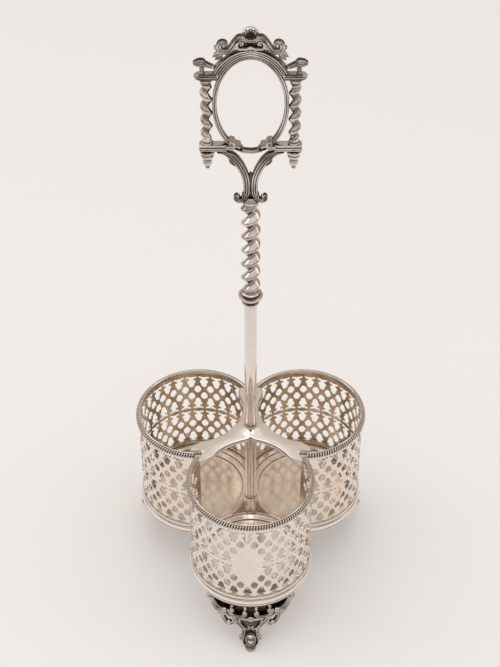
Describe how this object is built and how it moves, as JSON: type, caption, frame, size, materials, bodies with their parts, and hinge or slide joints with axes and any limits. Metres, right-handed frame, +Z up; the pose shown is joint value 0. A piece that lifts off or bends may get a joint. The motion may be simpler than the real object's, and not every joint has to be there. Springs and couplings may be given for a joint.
{
  "type": "cruet stand",
  "caption": "Tall silver bottle stand: pierced round galleries on a trefoil footed base, central stem, twisted grip and oval finger ring.",
  "frame": {"origin": "middle of the stand's box, on the table; the stem's axis stands 15.76 mm behind it, at +Y", "axes": "+Z up along the stem, +X to the right, -Y towards the front well"},
  "size_m": [0.178, 0.1722, 0.4784],
  "materials": {
    "silver_polished": "polished",
    "silver_gallery": "gloss",
    "silver_cast": "gloss",
    "rod_steel": "satin",
    "fixing_brass": "satin"
  },
  "bodies": {
    "stand": {"base_plate": "silver_polished", "gallery_front": "silver_gallery", "gallery_left": "silver_gallery", "gallery_right": "silver_gallery", "rim_front": "silver_polished", "rim_left": "silver_polished", "rim_right": "silver_polished", "foot_front": "silver_cast", "foot_left": "silver_cast", "foot_right": "silver_cast", "tie_bracket": "silver_polished", "bracket_collar": "silver_polished", "stem_tube": "silver_polished", "tie_rod": "rod_steel", "stem_knop": "silver_cast", "twist_column": "silver_cast", "yoke": "silver_cast", "yoke_rosette": "silver_cast", "oval_ring": "silver_cast", "arch_moulding": "silver_cast", "lower_bar_left": "silver_cast", "lower_bar_right": "silver_cast", "ring_clasp_left": "silver_cast", "ring_clasp_right": "silver_cast", "pendant_finial_left": "silver_cast", "pendant_finial_right": "silver_cast", "small_column_left": "silver_cast", "small_column_right": "silver_cast", "upper_bar_left": "silver_cast", "upper_bar_right": "silver_cast", "end_post_left": "silver_cast", "end_post_right": "silver_cast", "end_scroll_left": "silver_cast", "end_scroll_right": "silver_cast", "crest_scroll_left": "silver_cast", "crest_scroll_right": "silver_cast", "crest_cartouche": "silver_cast", "shell_finial": "silver_cast"},
    "washer": {"base_washer": "fixing_brass"},
    "nut": {"base_nut": "fixing_brass"}
  },
  "joints": [
    {"name": "washer_drop", "type": "slide", "parent": "stand", "child": "washer", "axis": [0, 0, -1], "range_m": [0, 0.00636]},
    {"name": "nut_spin", "type": "hinge", "parent": "washer", "child": "nut", "pos_m": [0, 0.01576, 0.0416], "axis": [0, 0, -1], "range_deg": [0, 1800]}
  ],
  "couplings": [
    {"joint": "washer_drop", "follows": "nut_spin", "m_per_rad": 0.00020213}
  ]
}
